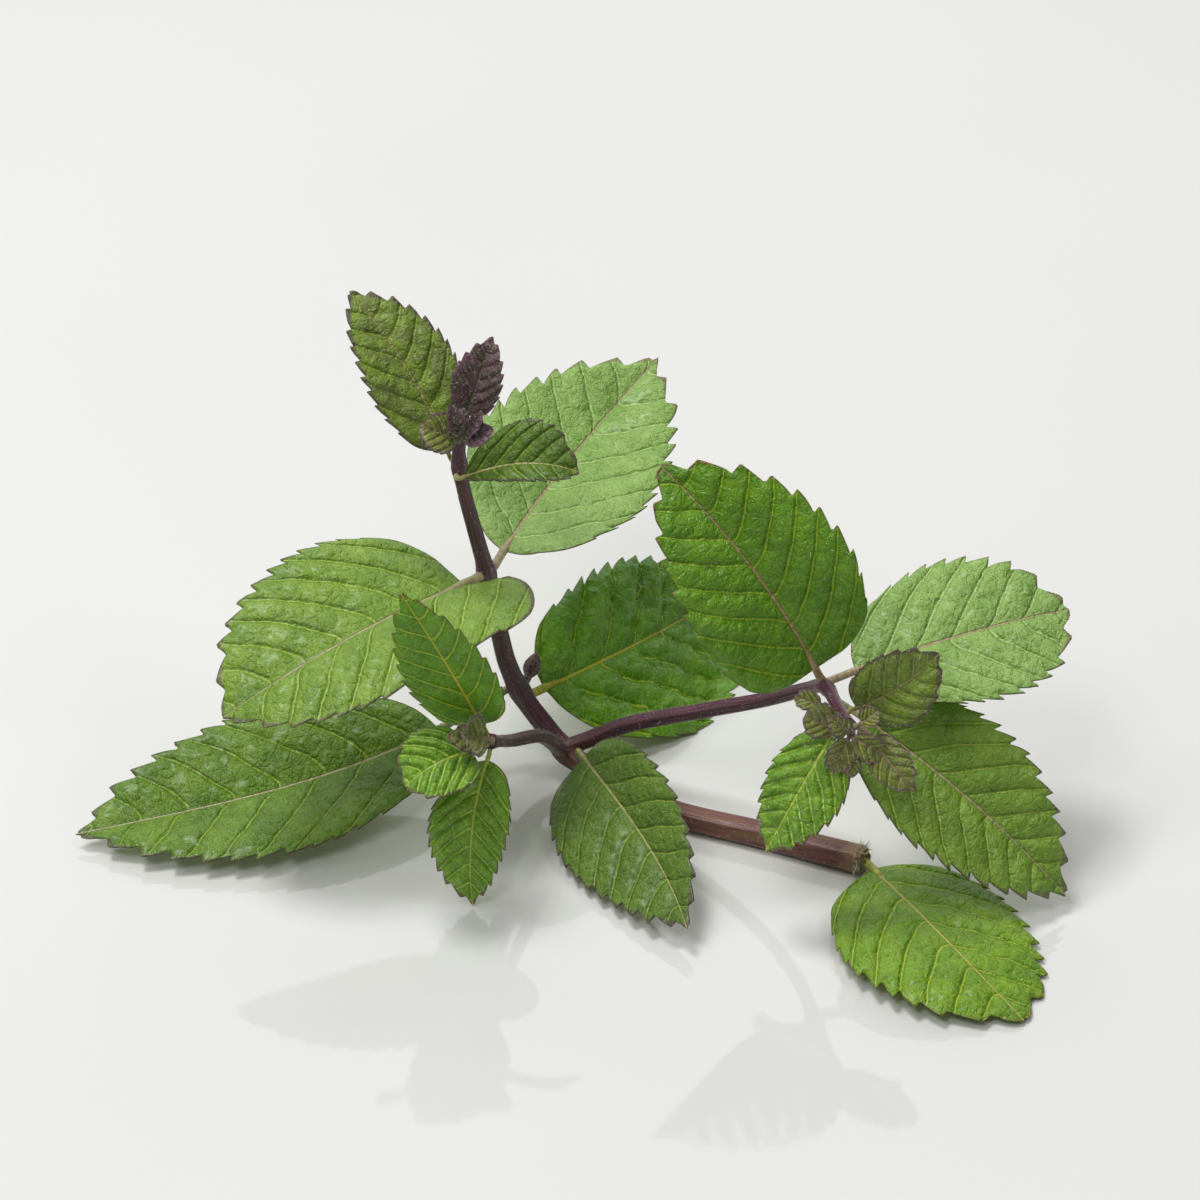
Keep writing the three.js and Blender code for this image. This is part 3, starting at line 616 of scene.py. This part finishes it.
def leaf_finish(name, *colours, rim, gloss, blush=0.0, fuzz=0.0):
    """A leaf's skin from seven screen colours: rim is its margin's width, and blush and fuzz are shares."""
    dark, light, vein, midrib, margin, tooth, under = [linear(*colour) for colour in colours]
    n = Nodes(name)
    flat = n.attribute("flat")
    x = n.split(flat)[0]
    phase, gap, along = n.split(n.attribute("lay"))
    below, stalk, spacing = n.split(n.attribute("kind"))
    place = n.object_place()

    # Side veins: how far the nearest one is, in millimetres, on a path that wavers a little.
    waver = n.times(n.minus(n.noise(flat, 0.3), 0.5), 0.16)
    turned = n.plus(phase, waver)
    nearest = n.math("ABSOLUTE", n.minus(turned, n.math("ROUND", turned)))
    vein_gap = n.times(n.times(nearest, spacing), 0.78)
    half = n.times(n.minus(1.15, along), 0.1)
    vein_line = n.ramp(vein_gap, 0.03, n.plus(half, 0.12), 1.0, 0.0)
    sunk = n.ramp(vein_gap, 0.0, 0.6, 0.0, 1.0)
    rib_gap = n.math("ABSOLUTE", x)
    rib_half = n.plus(n.times(n.minus(1.0, along), 0.24), 0.12)
    rib_line = n.ramp(rib_gap, n.times(rib_half, 0.45), rib_half, 1.0, 0.0)

    # The net of fine veins between them.
    drift = n.new("ShaderNodeVectorMath", operation="ADD")
    n.feed(drift.inputs[0], flat)
    n.feed(drift.inputs[1], n.wander(flat, 0.7, 0.5))
    coarse = n.cells(n.scaled(drift.outputs[0], (0.62, 0.75, 1.0)), 1.0)
    fine = n.cells(n.scaled(drift.outputs[0], (1.9, 2.1, 1.0)), 1.0)
    coarse_line = n.ramp(coarse, 0.0, 0.07, 1.0, 0.0)
    fine_line = n.ramp(fine, 0.0, 0.13, 1.0, 0.0)
    patches = n.noise(flat, 0.16, 3.0)
    mottle = n.noise(flat, 0.8, 4.0)

    body = n.mix(n.ramp(patches, 0.2, 0.8, 0.1, 0.9), dark, light)
    body = n.mix(n.ramp(mottle, 0.35, 0.75, 0.0, 0.22), body, light)
    # Painted shade: the blade is darkened within about 0.6 mm of each sunken side vein, and faintly along the
    # sunken lines of the fine net, where shade falls in the grooves.
    body = n.mix(n.times(n.minus(1.0, sunk), 0.4), body, dark)
    body = n.mix(n.times(fine_line, 0.07), body, dark)
    body = n.mix(n.times(coarse_line, 0.2), body, vein)
    body = n.mix(n.times(vein_line, 0.8), body, vein)
    if blush:
        body = n.mix(n.ramp(n.noise(flat, 0.35, 3.0), 0.4, 0.62, 0.0, blush), body, margin)
    rim_reach = n.plus(rim, n.times(n.minus(n.noise(flat, 0.8), 0.5), rim))
    on_rim = n.ramp(gap, n.times(rim_reach, 0.35), rim_reach, 1.0, 0.0)
    body = n.mix(n.times(on_rim, 0.75), body, margin)
    on_tooth = n.times(n.ramp(gap, 0.02, 0.16, 1.0, 0.0), n.ramp(n.noise(flat, 1.7), 0.45, 0.6))
    body = n.mix(n.times(on_tooth, 0.8), body, tooth)
    upper = n.mix(rib_line, body, midrib)

    pale = n.mix(n.ramp(patches, 0.3, 0.7, 0.0, 0.5), under, light)
    pale = n.mix(n.times(vein_line, 0.75), pale, vein)
    pale = n.mix(n.times(coarse_line, 0.4), pale, vein)
    pale = n.mix(n.times(on_rim, 0.6), pale, margin)
    colour = n.mix(below, upper, pale)
    streak = n.noise(n.scaled(place, (900.0, 900.0, 300.0)), 1.0, 2.0)
    stalk_colour = n.mix(n.ramp(streak, 0.3, 0.7, 0.0, 0.45), midrib, margin)
    colour = n.mix(stalk, colour, stalk_colour)
    n.set(Base_Color=colour)

    shine = n.plus(gloss - 0.06, n.times(n.minus(mottle, 0.5), 0.22))
    shine = n.plus(shine, n.times(below, 0.2))
    n.set(Roughness=shine)
    n.set(IOR=1.45, Subsurface_Weight=0.05, Subsurface_Radius=(0.3, 1.0, 0.12), Subsurface_Scale=0.0006,
          Coat_Weight=0.2, Coat_Roughness=0.24, Sheen_Weight=fuzz, Sheen_Roughness=0.45)

    height = n.times(sunk, 0.9)
    height = n.plus(height, n.times(n.ramp(coarse, 0.0, 0.28), 0.55))
    height = n.plus(height, n.times(n.ramp(fine, 0.0, 0.3), 0.3))
    height = n.plus(height, n.times(n.noise(flat, 4.5, 3.0), 0.35))
    height = n.minus(height, n.times(rib_line, 0.8))
    turn = n.minus(1.0, n.times(below, 2.0))
    n.bump(n.times(height, turn), 0.0003, 0.9)
    return n.material


LEAF_FINISHES = {
    "fresh": leaf_finish("fresh_leaf", (85, 132, 16), (139, 180, 32), (184, 206, 54),
                         (203, 200, 100), (108, 122, 27), (176, 176, 80),
                         (166, 186, 54), rim=0.3, gloss=0.36),
    "greyish": leaf_finish("greyish_leaf", (71, 105, 26), (111, 144, 47), (148, 172, 65),
                           (184, 184, 112), (96, 84, 76), (124, 104, 80),
                           (137, 162, 67), rim=0.5, gloss=0.42),
    "deep": leaf_finish("deep_leaf", (69, 109, 20), (121, 159, 37), (157, 185, 46),
                        (190, 184, 138), (98, 92, 74), (140, 120, 80),
                        (159, 181, 57), rim=0.4, gloss=0.4),
    "glossy": leaf_finish("glossy_leaf", (72, 125, 8), (117, 177, 20), (187, 211, 44),
                          (205, 204, 59), (97, 112, 22), (172, 130, 66),
                          (164, 191, 48), rim=0.22, gloss=0.28),
    "light": leaf_finish("light_leaf", (94, 136, 35), (145, 180, 62), (177, 202, 75),
                         (186, 180, 128), (108, 92, 80), (150, 132, 90),
                         (170, 189, 86), rim=0.5, gloss=0.42),
    "pale": leaf_finish("pale_leaf", (116, 158, 62), (160, 197, 104), (195, 220, 135),
                        (186, 164, 128), (124, 114, 84), (152, 128, 90),
                        (178, 206, 130), rim=0.35, gloss=0.42),
    "rich": leaf_finish("rich_leaf", (71, 124, 9), (117, 168, 25), (168, 196, 41),
                        (190, 158, 120), (87, 97, 23), (180, 118, 60),
                        (153, 183, 51), rim=0.22, gloss=0.33),
    "bronze": leaf_finish("bronze_leaf", (88, 112, 28), (144, 172, 50), (164, 186, 64),
                          (156, 152, 84), (88, 66, 66), (112, 84, 72),
                          (139, 147, 68), rim=0.75, gloss=0.42, blush=0.3, fuzz=0.08),
    "hairy": leaf_finish("hairy_leaf", (83, 132, 18), (140, 188, 43), (189, 227, 76),
                         (187, 212, 77), (106, 86, 68), (134, 110, 82),
                         (164, 202, 68), rim=0.4, gloss=0.42, fuzz=0.1),
    "young": leaf_finish("young_leaf", (85, 99, 27), (132, 150, 47), (168, 174, 69),
                         (150, 134, 92), (112, 80, 90), (146, 112, 120),
                         (128, 128, 88), rim=0.55, gloss=0.5, blush=0.25, fuzz=0.15),
    "purple": leaf_finish("purple_leaf", (62, 40, 46), (98, 92, 68), (124, 98, 104),
                          (96, 88, 64), (118, 76, 98), (160, 122, 140),
                          (108, 84, 92), rim=0.5, gloss=0.44, blush=0.55, fuzz=0.15),
}


def stem_finish():
    n = Nodes("stem_skin")
    around_x, around_y, _ = n.split(n.attribute("section"))
    ridge, distance, _ = n.split(n.attribute("grain"))
    lines = n.join(n.times(around_x, 3.2), n.times(around_y, 3.2),
                   n.times(distance, 0.11))
    streak = n.noise(lines, 1.6, 4.0)
    broad = n.noise(n.join(around_x, around_y, n.times(distance, 0.09)), 1.0, 2.0)
    specks = n.join(n.times(around_x, 2.0), n.times(around_y, 2.0), distance)
    speck = n.cells(specks, 2.6, "F1")
    height_up = n.split(n.object_place())[2]
    low = n.ramp(height_up, 0.0035, 0.0075, 1.0, 0.0)
    upper_skin = n.mix(n.ramp(streak, 0.32, 0.68), linear(44, 18, 32), linear(104, 52, 74))
    lower_skin = n.mix(n.ramp(streak, 0.32, 0.68), linear(72, 24, 34), linear(136, 74, 66))
    colour = n.mix(low, upper_skin, lower_skin)
    colour = n.mix(n.times(n.ramp(broad, 0.45, 0.65, 0.15, 0.8), low), colour, linear(122, 88, 50))
    # Painted highlight: the four blunt corner ridges of the stem are lightened towards a pale pink, as if they
    # caught the light.
    colour = n.mix(n.ramp(ridge, -0.2, -1.0, 0.0, 0.35), colour, linear(128, 92, 100))
    colour = n.mix(n.ramp(speck, 0.06, 0.1, 0.65, 0.0), colour, linear(206, 186, 190))
    near_cut = n.ramp(n.plus(distance, n.times(streak, 2.5)), 2.2, 4.2, 1.0, 0.0)
    colour = n.mix(n.times(near_cut, n.times(low, 0.85)), colour, linear(150, 112, 78))
    n.set(Base_Color=colour)
    n.set(Roughness=n.ramp(streak, 0.2, 0.8, 0.28, 0.5))
    n.set(Sheen_Weight=0.12)
    raised = n.times(n.ramp(speck, 0.05, 0.14, 1.0, 0.0), 0.5)
    height = n.plus(n.times(streak, 0.8), raised)
    n.bump(height, 0.00022, 0.9)
    return n.material


def cut_finish():
    n = Nodes("cut_fibres")
    place = n.object_place()
    grain = n.noise(place, 2600.0, 4.0)
    broad = n.noise(place, 700.0, 2.0)
    colour = n.mix(n.ramp(grain, 0.3, 0.7), linear(104, 76, 56), linear(196, 172, 134))
    colour = n.mix(n.ramp(broad, 0.4, 0.65, 0.0, 0.5), colour, linear(128, 116, 76))
    n.set(Base_Color=colour, Roughness=0.75)
    n.bump(grain, 0.00025, 0.9)
    return n.material


def hair_finish():
    n = Nodes("fine_hair")
    place = n.object_place()
    tint = n.noise(place, 400.0, 2.0)
    n.set(Base_Color=n.mix(n.ramp(tint, 0.3, 0.7), linear(206, 214, 190), linear(232, 228, 220)), Roughness=0.4)
    return n.material


def bud_finish():
    n = Nodes("bud_scales")
    place = n.object_place()
    scales = n.cells(place, 1500.0)
    tint = n.noise(place, 900.0, 3.0)
    colour = n.mix(n.ramp(tint, 0.35, 0.7), linear(70, 44, 56), linear(120, 108, 80))
    colour = n.mix(n.ramp(scales, 0.0, 0.12, 0.6, 0.0), colour, linear(158, 130, 140))
    n.set(Base_Color=colour, Roughness=0.5)
    n.set(Sheen_Weight=0.3)
    n.bump(n.ramp(scales, 0.0, 0.3), 0.0002, 0.9)
    return n.material


STEM_SKIN = stem_finish()
CUT_FIBRES = cut_finish()
FINE_HAIR = hair_finish()
BUD_SCALES = bud_finish()


# ---------------------------------------------------------------- Geometry Nodes


class Tree:
    """Short words for making a Geometry Nodes tree with named inputs."""

    def __init__(self, name):
        self.tree = bpy.data.node_groups.new(name, "GeometryNodeTree")
        self.tree.interface.new_socket("Geometry", in_out="INPUT", socket_type="NodeSocketGeometry")
        self.tree.interface.new_socket("Geometry", in_out="OUTPUT", socket_type="NodeSocketGeometry")
        self.inputs = self.tree.nodes.new("NodeGroupInput")
        self.output = self.tree.nodes.new("NodeGroupOutput")
        self.sizes = {}

    def size(self, name, value, kind="NodeSocketFloat"):
        socket = self.tree.interface.new_socket(name, in_out="INPUT", socket_type=kind)
        self.sizes[name] = (socket.identifier, value)
        return self.inputs.outputs[name]

    def new(self, kind, links=(), **settings):
        node = self.tree.nodes.new(kind)
        for key, value in settings.items():
            setattr(node, key, value)
        for socket, value in dict(links).items():
            if isinstance(value, bpy.types.NodeSocket):
                self.tree.links.new(value, node.inputs[socket])
            else:
                node.inputs[socket].default_value = value
        return node

    def math(self, operation, *values):
        return self.new("ShaderNodeMath", dict(enumerate(values)), operation=operation).outputs[0]

    def read(self, name):
        return self.new("GeometryNodeInputNamedAttribute", {"Name": name}, data_type="FLOAT").outputs[0]

    def store(self, node, name, value, data_type):
        links = {"Geometry": node.outputs[0], "Name": name, "Value": value}
        return self.new("GeometryNodeStoreNamedAttribute", links, data_type=data_type, domain="POINT")

    def finish(self, geometry, material):
        """Ends the tree: real faces, none of them under the table, with their material."""
        lowest = self.size("Lowest", 0.0)
        real = self.new("GeometryNodeRealizeInstances", {"Geometry": geometry})
        place = self.new("ShaderNodeSeparateXYZ", {0: self.new("GeometryNodeInputPosition").outputs[0]}).outputs
        raised = self.math("MAXIMUM", place[2], lowest)
        lifted = self.new("ShaderNodeCombineXYZ", {0: place[0], 1: place[1], 2: raised})
        rested = self.new("GeometryNodeSetPosition", {
            "Geometry": real.outputs[0], "Position": lifted.outputs[0]})
        last = self.new("GeometryNodeSetMaterial", {"Geometry": rested.outputs[0], "Material": material})
        self.tree.links.new(last.outputs[0], self.output.inputs[0])

    def run(self, source, name, changes=None):
        """Runs the tree on an object and keeps the result as a plain mesh piece."""
        modifier = source.modifiers.new(name, "NODES")
        modifier.node_group = self.tree
        for key, (identifier, value) in self.sizes.items():
            modifier[identifier] = (changes or {}).get(key, value)
        bpy.context.view_layer.update()
        done = source.evaluated_get(bpy.context.evaluated_depsgraph_get())
        mesh = bpy.data.meshes.new_from_object(done)
        mesh.name = name
        source.modifiers.remove(modifier)
        piece = bpy.data.objects.new(name, mesh)
        bpy.context.scene.collection.objects.link(piece)
        return piece


def stem_tree():
    """A line of points becomes a stem: square with blunt corners, and closed at both ends."""
    t = Tree("stem_along_a_path")
    corner = t.size("Corner", 0.09)
    sides = t.size("Sides", 48, "NodeSocketInt")
    circle = t.new("GeometryNodeCurvePrimitiveCircle", {"Resolution": sides, "Radius": 1.0})
    factor = t.new("GeometryNodeSplineParameter").outputs["Factor"]
    angle = t.math("MULTIPLY", factor, 2 * math.pi)
    square = t.math("COSINE", t.math("MULTIPLY", angle, 4.0))
    size = t.math("SUBTRACT", 1.03, t.math("MULTIPLY", square, corner))
    section = t.new("ShaderNodeCombineXYZ", {0: t.math("COSINE", angle), 1: t.math("SINE", angle)}).outputs[0]
    scaled = t.new("ShaderNodeVectorMath", {0: section, "Scale": size}, operation="SCALE").outputs[0]
    shaped = t.new("GeometryNodeSetPosition", {"Geometry": circle.outputs[0], "Position": scaled})
    kept = t.store(shaped, "section", section, "FLOAT_VECTOR")
    ridge = t.store(kept, "ridge", square, "FLOAT")
    path = t.new("GeometryNodeMeshToCurve", {"Mesh": t.inputs.outputs[0]})
    swept = t.new("GeometryNodeCurveToMesh", {
        "Curve": path.outputs[0], "Profile Curve": ridge.outputs[0],
        "Scale": t.read("thickness"), "Fill Caps": True})
    grain = t.new("ShaderNodeCombineXYZ", {0: t.read("ridge"), 1: t.read("distance")}).outputs[0]
    marked = t.store(swept, "grain", grain, "FLOAT_VECTOR")
    smooth = t.new("GeometryNodeSetShadeSmooth", {"Geometry": marked.outputs[0]})
    t.finish(smooth.outputs[0], STEM_SKIN)
    return t


def stem_object(name):
    """The stem's path as a mesh line that carries its thickness and the distance from its root."""
    line = STEM_LINES[name]
    mesh = bpy.data.meshes.new(name + "_path")
    mesh.from_pydata((line * MM).tolist(), [(i, i + 1) for i in range(len(line) - 1)], [])
    gone = np.concatenate([[0], np.cumsum(np.linalg.norm(np.diff(line, axis=0), axis=1))])
    for key, values in (("thickness", stem_radius(name) * MM), ("distance", gone)):
        mesh.attributes.new(key, "FLOAT", "POINT").data.foreach_set("value", values.astype(np.float32))
    source = bpy.data.objects.new(name + "_path", mesh)
    bpy.context.scene.collection.objects.link(source)
    return source


def hair_tree():
    """Fine hairs that stand on a surface and lean a little, each a thin cone."""
    t = Tree("fine_hairs")
    density = t.size("Hairs per square metre", 400000.0)
    length = t.size("Hair length", 0.0006)
    thickness = t.size("Hair thickness", 0.00002)
    seed = t.size("Seed", 7, "NodeSocketInt")
    share = t.read("hairs")
    spread = t.new("GeometryNodeDistributePointsOnFaces", {
        "Mesh": t.inputs.outputs[0], "Density": t.math("MULTIPLY", density, share), "Seed": seed})
    cone = t.new("GeometryNodeMeshCone", {
        "Vertices": 4, "Radius Top": t.math("MULTIPLY", thickness, 0.2), "Radius Bottom": thickness,
        "Depth": length})
    lean = t.new("FunctionNodeRandomValue", {"Min": (-0.6, -0.6, 0.0), "Max": (0.6, 0.6, 6.28), "Seed": seed},
                 data_type="FLOAT_VECTOR").outputs[0]
    turn = t.new("FunctionNodeEulerToRotation", {0: lean}).outputs[0]
    stand = t.new("FunctionNodeRotateRotation", {"Rotation": spread.outputs["Rotation"], "Rotate By": turn},
                  rotation_space="LOCAL").outputs[0]
    size = t.new("FunctionNodeRandomValue", {2: 0.45, 3: 1.2, "Seed": seed}, data_type="FLOAT").outputs[1]
    placed = t.new("GeometryNodeInstanceOnPoints", {
        "Points": spread.outputs["Points"], "Instance": cone.outputs[0], "Rotation": stand, "Scale": size})
    t.finish(placed.outputs[0], FINE_HAIR)
    return t


# ---------------------------------------------------------------- build

pieces = []

stem_maker = stem_tree()
for stem, node in (("main", "main_stem"), ("right", "right_side_shoot"), ("left", "left_side_shoot")):
    path = stem_object(stem)
    piece = stem_maker.run(path, "stem_" + stem)
    bpy.data.objects.remove(path)
    pieces.append((piece, node, "stem"))

SLOTS = {
    "fresh": "leaf_green", "deep": "leaf_green", "light": "leaf_green", "hairy": "leaf_green",
    "greyish": "leaf_dark", "glossy": "leaf_dark", "rich": "leaf_dark",
    "pale": "leaf_pale", "bronze": "leaf_bronze", "young": "leaf_bronze", "purple": "leaf_purple",
}
for index, (name, shape) in enumerate([*LEAVES.items(), *CROWN_LEAVES.items()]):
    piece = build_leaf("mint_" + name, shape, 100 + 10 * index)
    pieces.append((piece, name, SLOTS[shape["finish"]]))


def build_bud(name, centre, pointing, radius, length, seed):
    """A bud of closed scales: an egg with lengthwise folds."""
    rows, sides = 17, 24
    ahead = np.array(pointing, float)
    ahead /= np.linalg.norm(ahead)
    across = np.cross(ahead, (0.2, 1.0, 0.3))
    across /= np.linalg.norm(across)
    other = np.cross(ahead, across)
    points = [np.array(centre) - ahead * length / 2]
    for r in range(1, rows):
        share = r / rows
        wide = radius * math.sin(math.pi * share ** 0.85) ** 0.8
        for k in range(sides):
            angle = 2 * math.pi * k / sides
            size = wide * (1 + 0.12 * math.cos(4 * angle + 2.4 * share) + 0.06 * math.sin(9 * angle + seed))
            points.append(np.array(centre) + ahead * length * (share - 0.5)
                          + size * (math.cos(angle) * across + math.sin(angle) * other))
    points.append(np.array(centre) + ahead * length / 2)
    faces = []
    for r in range(rows - 2):
        for k in range(sides):
            a = 1 + r * sides + k
            b = 1 + r * sides + (k + 1) % sides
            faces.append((a, b, b + sides, a + sides))
    last = len(points) - 1
    for k in range(sides):
        faces.append((0, 1 + (k + 1) % sides, 1 + k))
        faces.append((last, last - sides + k, last - sides + (k + 1) % sides))
    base = np.array(centre) - ahead * length * 0.3
    nearest = min((line[np.linalg.norm(line - base, axis=1).argmin()] for line in STEM_LINES.values()),
                  key=lambda place: np.linalg.norm(place - base))
    share = np.linspace(0, 1, 9)[:, None]
    stalk = (1 - share) * nearest + share * base
    stalk_points, stalk_faces = tube(stalk, np.linspace(0.75, 0.55, 9) * radius, len(points))
    return add_piece(name, np.vstack([points, stalk_points]), faces + stalk_faces, {}, BUD_SCALES)


BUDS = {
    "tip_bud": ((-34.5, 14.6, 59.9), (0.1, 0, 1), 0.8, 3),
    "side_bud": ((-25.6, 20.6, 14.2), (0.3, 0.6, 0.7), 1.1, 4),
    "left_shoot_bud": ((-31.5, -11.5, 24.9), (-0.3, -0.75, 0.6), 0.5, 1.8),
    "right_shoot_bud": ((17.4, -18.2, 31.1), (0.2, -0.95, 0.2), 0.6, 2),
}
for seed, (name, numbers) in enumerate(BUDS.items()):
    pieces.append((build_bud("mint_" + name, *numbers, seed), name, "bud"))


def build_cut_end():
    """The cut face of the main stem: a ring of torn fibres round a sunk pith."""
    line = STEM_LINES["main"]
    out = line[0] - line[1]
    out /= np.linalg.norm(out)
    across = np.cross(out, (0, 0, 1.0))
    across /= np.linalg.norm(across)
    other = np.cross(out, across)
    rings, sides = 14, 72
    size = STEM_RADII["main"][0] * 1.02
    points, faces = [], []
    for r in range(1, rings + 1):
        share = r / rings
        for k in range(sides):
            angle = 2 * math.pi * k / sides
            square = 1.03 - 0.09 * math.cos(4 * angle)
            torn = 0.28 * float(noise_field(np.array(angle * 3.2), np.array(share * 5), 5))
            torn += 0.18 * float(noise_field(np.array(angle * 9.0), np.array(share * 3), 6))
            lip = 1.1 * math.exp(-((share - 0.84) / 0.12) ** 2) - 0.1
            depth = 0.12 + lip * (0.6 + torn * 1.5) + 0.15 * torn
            if r == rings:
                depth = -CUT_DEPTH
            wide = size * square * share
            points.append(line[0] + out * depth + wide * (math.cos(angle) * across + math.sin(angle) * other))
    points.append(line[0] + out * 0.1)
    back = len(points)
    points.append(line[0] - out * CUT_DEPTH)
    for r in range(rings - 1):
        for k in range(sides):
            a, b = r * sides + k, r * sides + (k + 1) % sides
            faces.append((a, a + sides, b + sides, b))
    for k in range(sides):
        n = (k + 1) % sides
        faces.append((back - 1, k, n))
        faces.append((back, (rings - 1) * sides + n, (rings - 1) * sides + k))
    points = np.array(points)
    points[:, 2] = np.maximum(points[:, 2], CUT_ABOVE_TABLE)
    return add_piece("cut_end", points, faces, {}, CUT_FIBRES)


cut_end = build_cut_end()

hairs = hair_tree()
HAIR_SHARE = {
    "hairy": 1.0, "young": 1.4, "purple": 1.0, "bronze": 0.7, "light": 0.16, "fresh": 0.2, "deep": 0.08,
    "greyish": 0.2, "pale": 0.12, "rich": 0.08, "glossy": 0.08,
}


def joined_copy(sources, shares, name):
    """One mesh of several pieces, with the share of hairs each one carries."""
    points, faces, hair = [], [], []
    start = 0
    for source, share in zip(sources, shares):
        mesh = source.data
        place = np.zeros(len(mesh.vertices) * 3)
        mesh.vertices.foreach_get("co", place)
        points.append(place.reshape(-1, 3))
        faces += [tuple(start + i for i in p.vertices) for p in mesh.polygons]
        start += len(mesh.vertices)
        hair.append(np.full(len(mesh.vertices), share))
    mesh = bpy.data.meshes.new(name)
    mesh.from_pydata(np.vstack(points).tolist(), [], faces)
    mesh.update()
    shares_at_points = mesh.attributes.new("hairs", "FLOAT", "POINT")
    shares_at_points.data.foreach_set("value", np.concatenate(hair).astype(np.float32))
    joined = bpy.data.objects.new(name, mesh)
    bpy.context.scene.collection.objects.link(joined)
    return joined


def add_hairs(name, sources, shares, changes):
    """Hairs over some pieces, grown on one joined copy that is then thrown away."""
    skin = joined_copy(sources, shares, name + "_skin")
    grown = hairs.run(skin, name, changes)
    bpy.data.objects.remove(skin)
    return grown


ALL_LEAVES = {**LEAVES, **CROWN_LEAVES}
leaves = [(piece, HAIR_SHARE[ALL_LEAVES[node]["finish"]]) for piece, node, _ in pieces if node in ALL_LEAVES]
leaf_hairs = add_hairs("leaf_hairs", *zip(*leaves), {
    "Hairs per square metre": 2400000.0, "Hair length": 0.0005})
stem_pieces = [piece for piece, _, slot in pieces if slot == "stem"]
stem_hairs = add_hairs("stem_hairs", stem_pieces, [1.0, 1.6, 1.6], {
    "Hairs per square metre": 900000.0, "Hair length": 0.00045})
cut_fibres = add_hairs("cut_fibres", [cut_end], [1.0], {
    "Hairs per square metre": 4500000.0, "Hair length": 0.0011, "Hair thickness": 0.00006})

for piece, node, slot in pieces:
    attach(piece, "root")
    if node not in CROWN_LEAVES:
        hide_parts(node)
for piece, slot in ((cut_end, "stem"), (cut_fibres, "stem"), (leaf_hairs, "leaf_pale"), (stem_hairs, "stem")):
    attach(piece, "root")

# ---------------------------------------------------------------- table, light and camera


def table_finish():
    n = Nodes("pale_glossy_table")
    place = n.object_place()
    cloud = n.noise(place, 6.0, 2.0)
    n.set(Base_Color=n.mix(n.ramp(cloud, 0.3, 0.7), linear(225, 225, 223), linear(228, 228, 226)),
          Roughness=0.045, IOR=1.65)
    return n.material


TABLE_HALF = 4.0
floor = bpy.data.meshes.new("table")
corners = [(x * TABLE_HALF, y * TABLE_HALF, 0) for x, y in ((-1, -1), (1, -1), (1, 1), (-1, 1))]
floor.from_pydata(corners, [], [(0, 1, 2, 3)])
floor.materials.append(table_finish())
table = bpy.data.objects.new("table", floor)
bpy.context.scene.collection.objects.link(table)


def area_light(name, place, size, watts):
    light = bpy.data.lights.new(name, "AREA")
    light.shape = "RECTANGLE"
    light.size, light.size_y = size
    light.energy = watts
    lamp = bpy.data.objects.new(name, light)
    lamp.location = place
    lamp.rotation_euler = (Vector(MIDDLE) - Vector(place)).to_track_quat("-Z", "Y").to_euler()
    bpy.context.scene.collection.objects.link(lamp)


MIDDLE = (-0.016, 0.02, 0.02)
area_light("soft_box_above", (-0.3, 0.2, 1.1), (0.3, 0.3), 6.2)
area_light("soft_box_behind", (-0.1, 1.65, 1.15), (3.0, 1.7), 15.0)
area_light("soft_box_front", (-0.3, -0.55, 0.95), (0.35, 0.35), 2.6)
area_light("soft_box_left", (-0.6, -0.1, 0.95), (0.35, 0.35), 1.4)
area_light("soft_box_right", (0.6, -0.2, 0.95), (0.35, 0.35), 1.1)

world = bpy.data.worlds.new("studio")
world.use_nodes = True
background = world.node_tree.nodes["Background"]
background.inputs["Color"].default_value = (1.0, 0.995, 0.985, 1.0)
background.inputs["Strength"].default_value = 0.17
bpy.context.scene.world = world
bpy.context.scene.view_settings.view_transform = "Standard"

CAMERA_ELEVATION = math.radians(35)
CAMERA_DISTANCE = 0.7
CAMERA_TARGET = Vector((-0.016, 0.057, 0.0))
camera_data = bpy.data.cameras.new("camera")
camera_data.lens = 140
camera_data.sensor_width = 36
camera = bpy.data.objects.new("camera", camera_data)
back = Vector((0, -math.cos(CAMERA_ELEVATION), math.sin(CAMERA_ELEVATION)))
camera.location = CAMERA_TARGET + CAMERA_DISTANCE * back
camera.rotation_euler = (-back).to_track_quat("-Z", "Y").to_euler()
bpy.context.scene.collection.objects.link(camera)
bpy.context.scene.camera = camera

bpy.context.view_layer.update()
